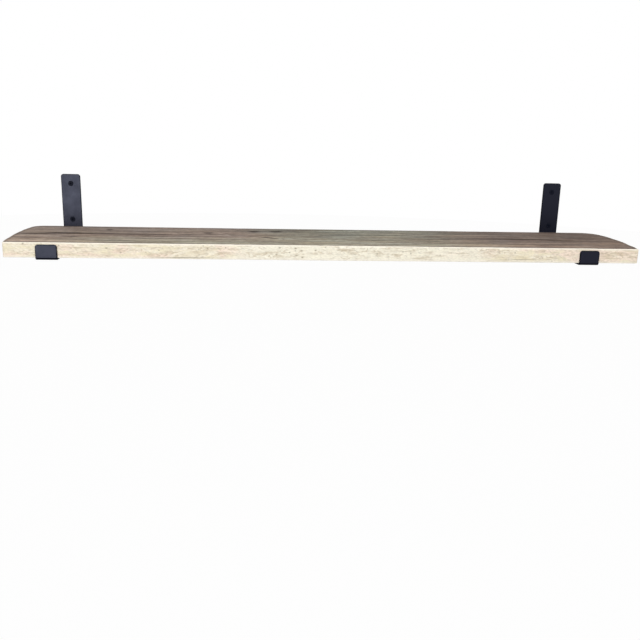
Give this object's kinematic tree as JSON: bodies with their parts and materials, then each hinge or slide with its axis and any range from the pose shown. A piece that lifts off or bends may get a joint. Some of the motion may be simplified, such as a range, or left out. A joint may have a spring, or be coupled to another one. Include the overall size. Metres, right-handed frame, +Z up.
{
  "type": "wall shelf",
  "caption": "Wall shelf: a thick weathered wooden plank lying in black flat-bar brackets, each bent into a wall leg, a seat and a short front lip.",
  "frame": {"origin": "on the wall's surface, midway between the brackets and level with the underside of the plank", "axes": "+X along the plank to the right of someone who faces the wall, +Y into the wall, +Z up"},
  "size_m": [1.2, 0.2695, 0.1371],
  "materials": {
    "weathered_pine": "weathered grey-brown on top, pale and sanded along the edges",
    "black_powder_coat": "satin black powder coat with a fine texture",
    "blackened_steel": "black oxide, slightly glossy",
    "zinc_plated_steel": "bright zinc plating"
  },
  "bodies": {
    "root": {"plank": "weathered_pine", "left_bracket": "black_powder_coat", "right_bracket": "black_powder_coat", "left_upper_wall_screw": "blackened_steel", "left_lower_wall_screw": "blackened_steel", "right_upper_wall_screw": "blackened_steel", "right_lower_wall_screw": "blackened_steel", "left_front_plank_screw": "zinc_plated_steel", "left_back_plank_screw": "zinc_plated_steel", "right_front_plank_screw": "zinc_plated_steel", "right_back_plank_screw": "zinc_plated_steel"}
  },
  "joints": []
}
